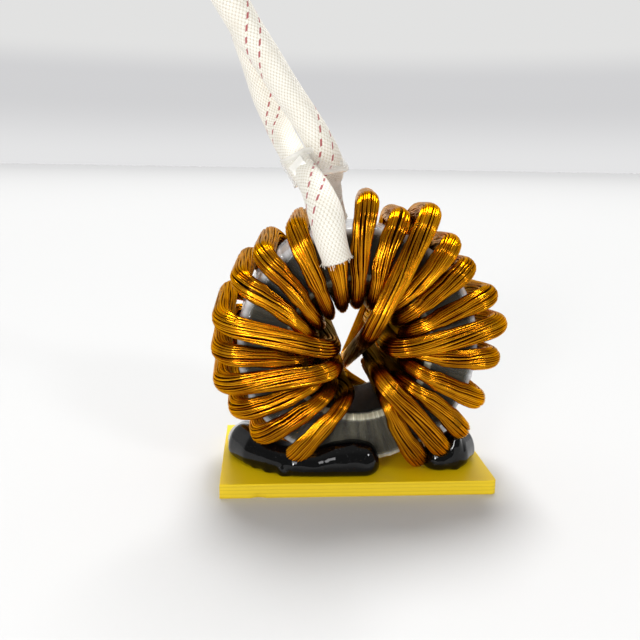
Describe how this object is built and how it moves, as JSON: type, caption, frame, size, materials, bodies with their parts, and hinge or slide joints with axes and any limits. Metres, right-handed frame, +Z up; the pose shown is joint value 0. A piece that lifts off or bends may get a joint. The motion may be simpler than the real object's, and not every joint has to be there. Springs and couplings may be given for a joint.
{
  "type": "toroidal transformer",
  "caption": "Toroidal power transformer: ring core wound with a thick stranded copper bundle, glued upright to an insulating board, with two sleeved leads.",
  "frame": {"origin": "centre of the board's underside", "axes": "+X to the right and +Z up as seen from the front, +Y from the front to the back along the axis of the ring"},
  "size_m": [0.0718, 0.0528, 0.1199],
  "materials": {
    "board": "yellow glass-cloth epoxy board, satin, sawn edges",
    "core": "pressed powder core with a dark grey coating",
    "film": "clear glossy insulating film, wrapped with overlaps",
    "copper": "amber enamelled copper strands laid side by side",
    "adhesive": "black glossy potting adhesive",
    "sleeve": "white braided glass-fibre sleeve with red tracer threads",
    "tape": "clear tape tied round both leads"
  },
  "bodies": {
    "root": {"base_board": "board", "core": "core", "core_film": "film", "winding": "copper", "adhesive_left": "adhesive", "adhesive_right": "adhesive", "lead_front": "sleeve", "lead_rear": "sleeve", "lead_tape": "tape"}
  },
  "joints": []
}
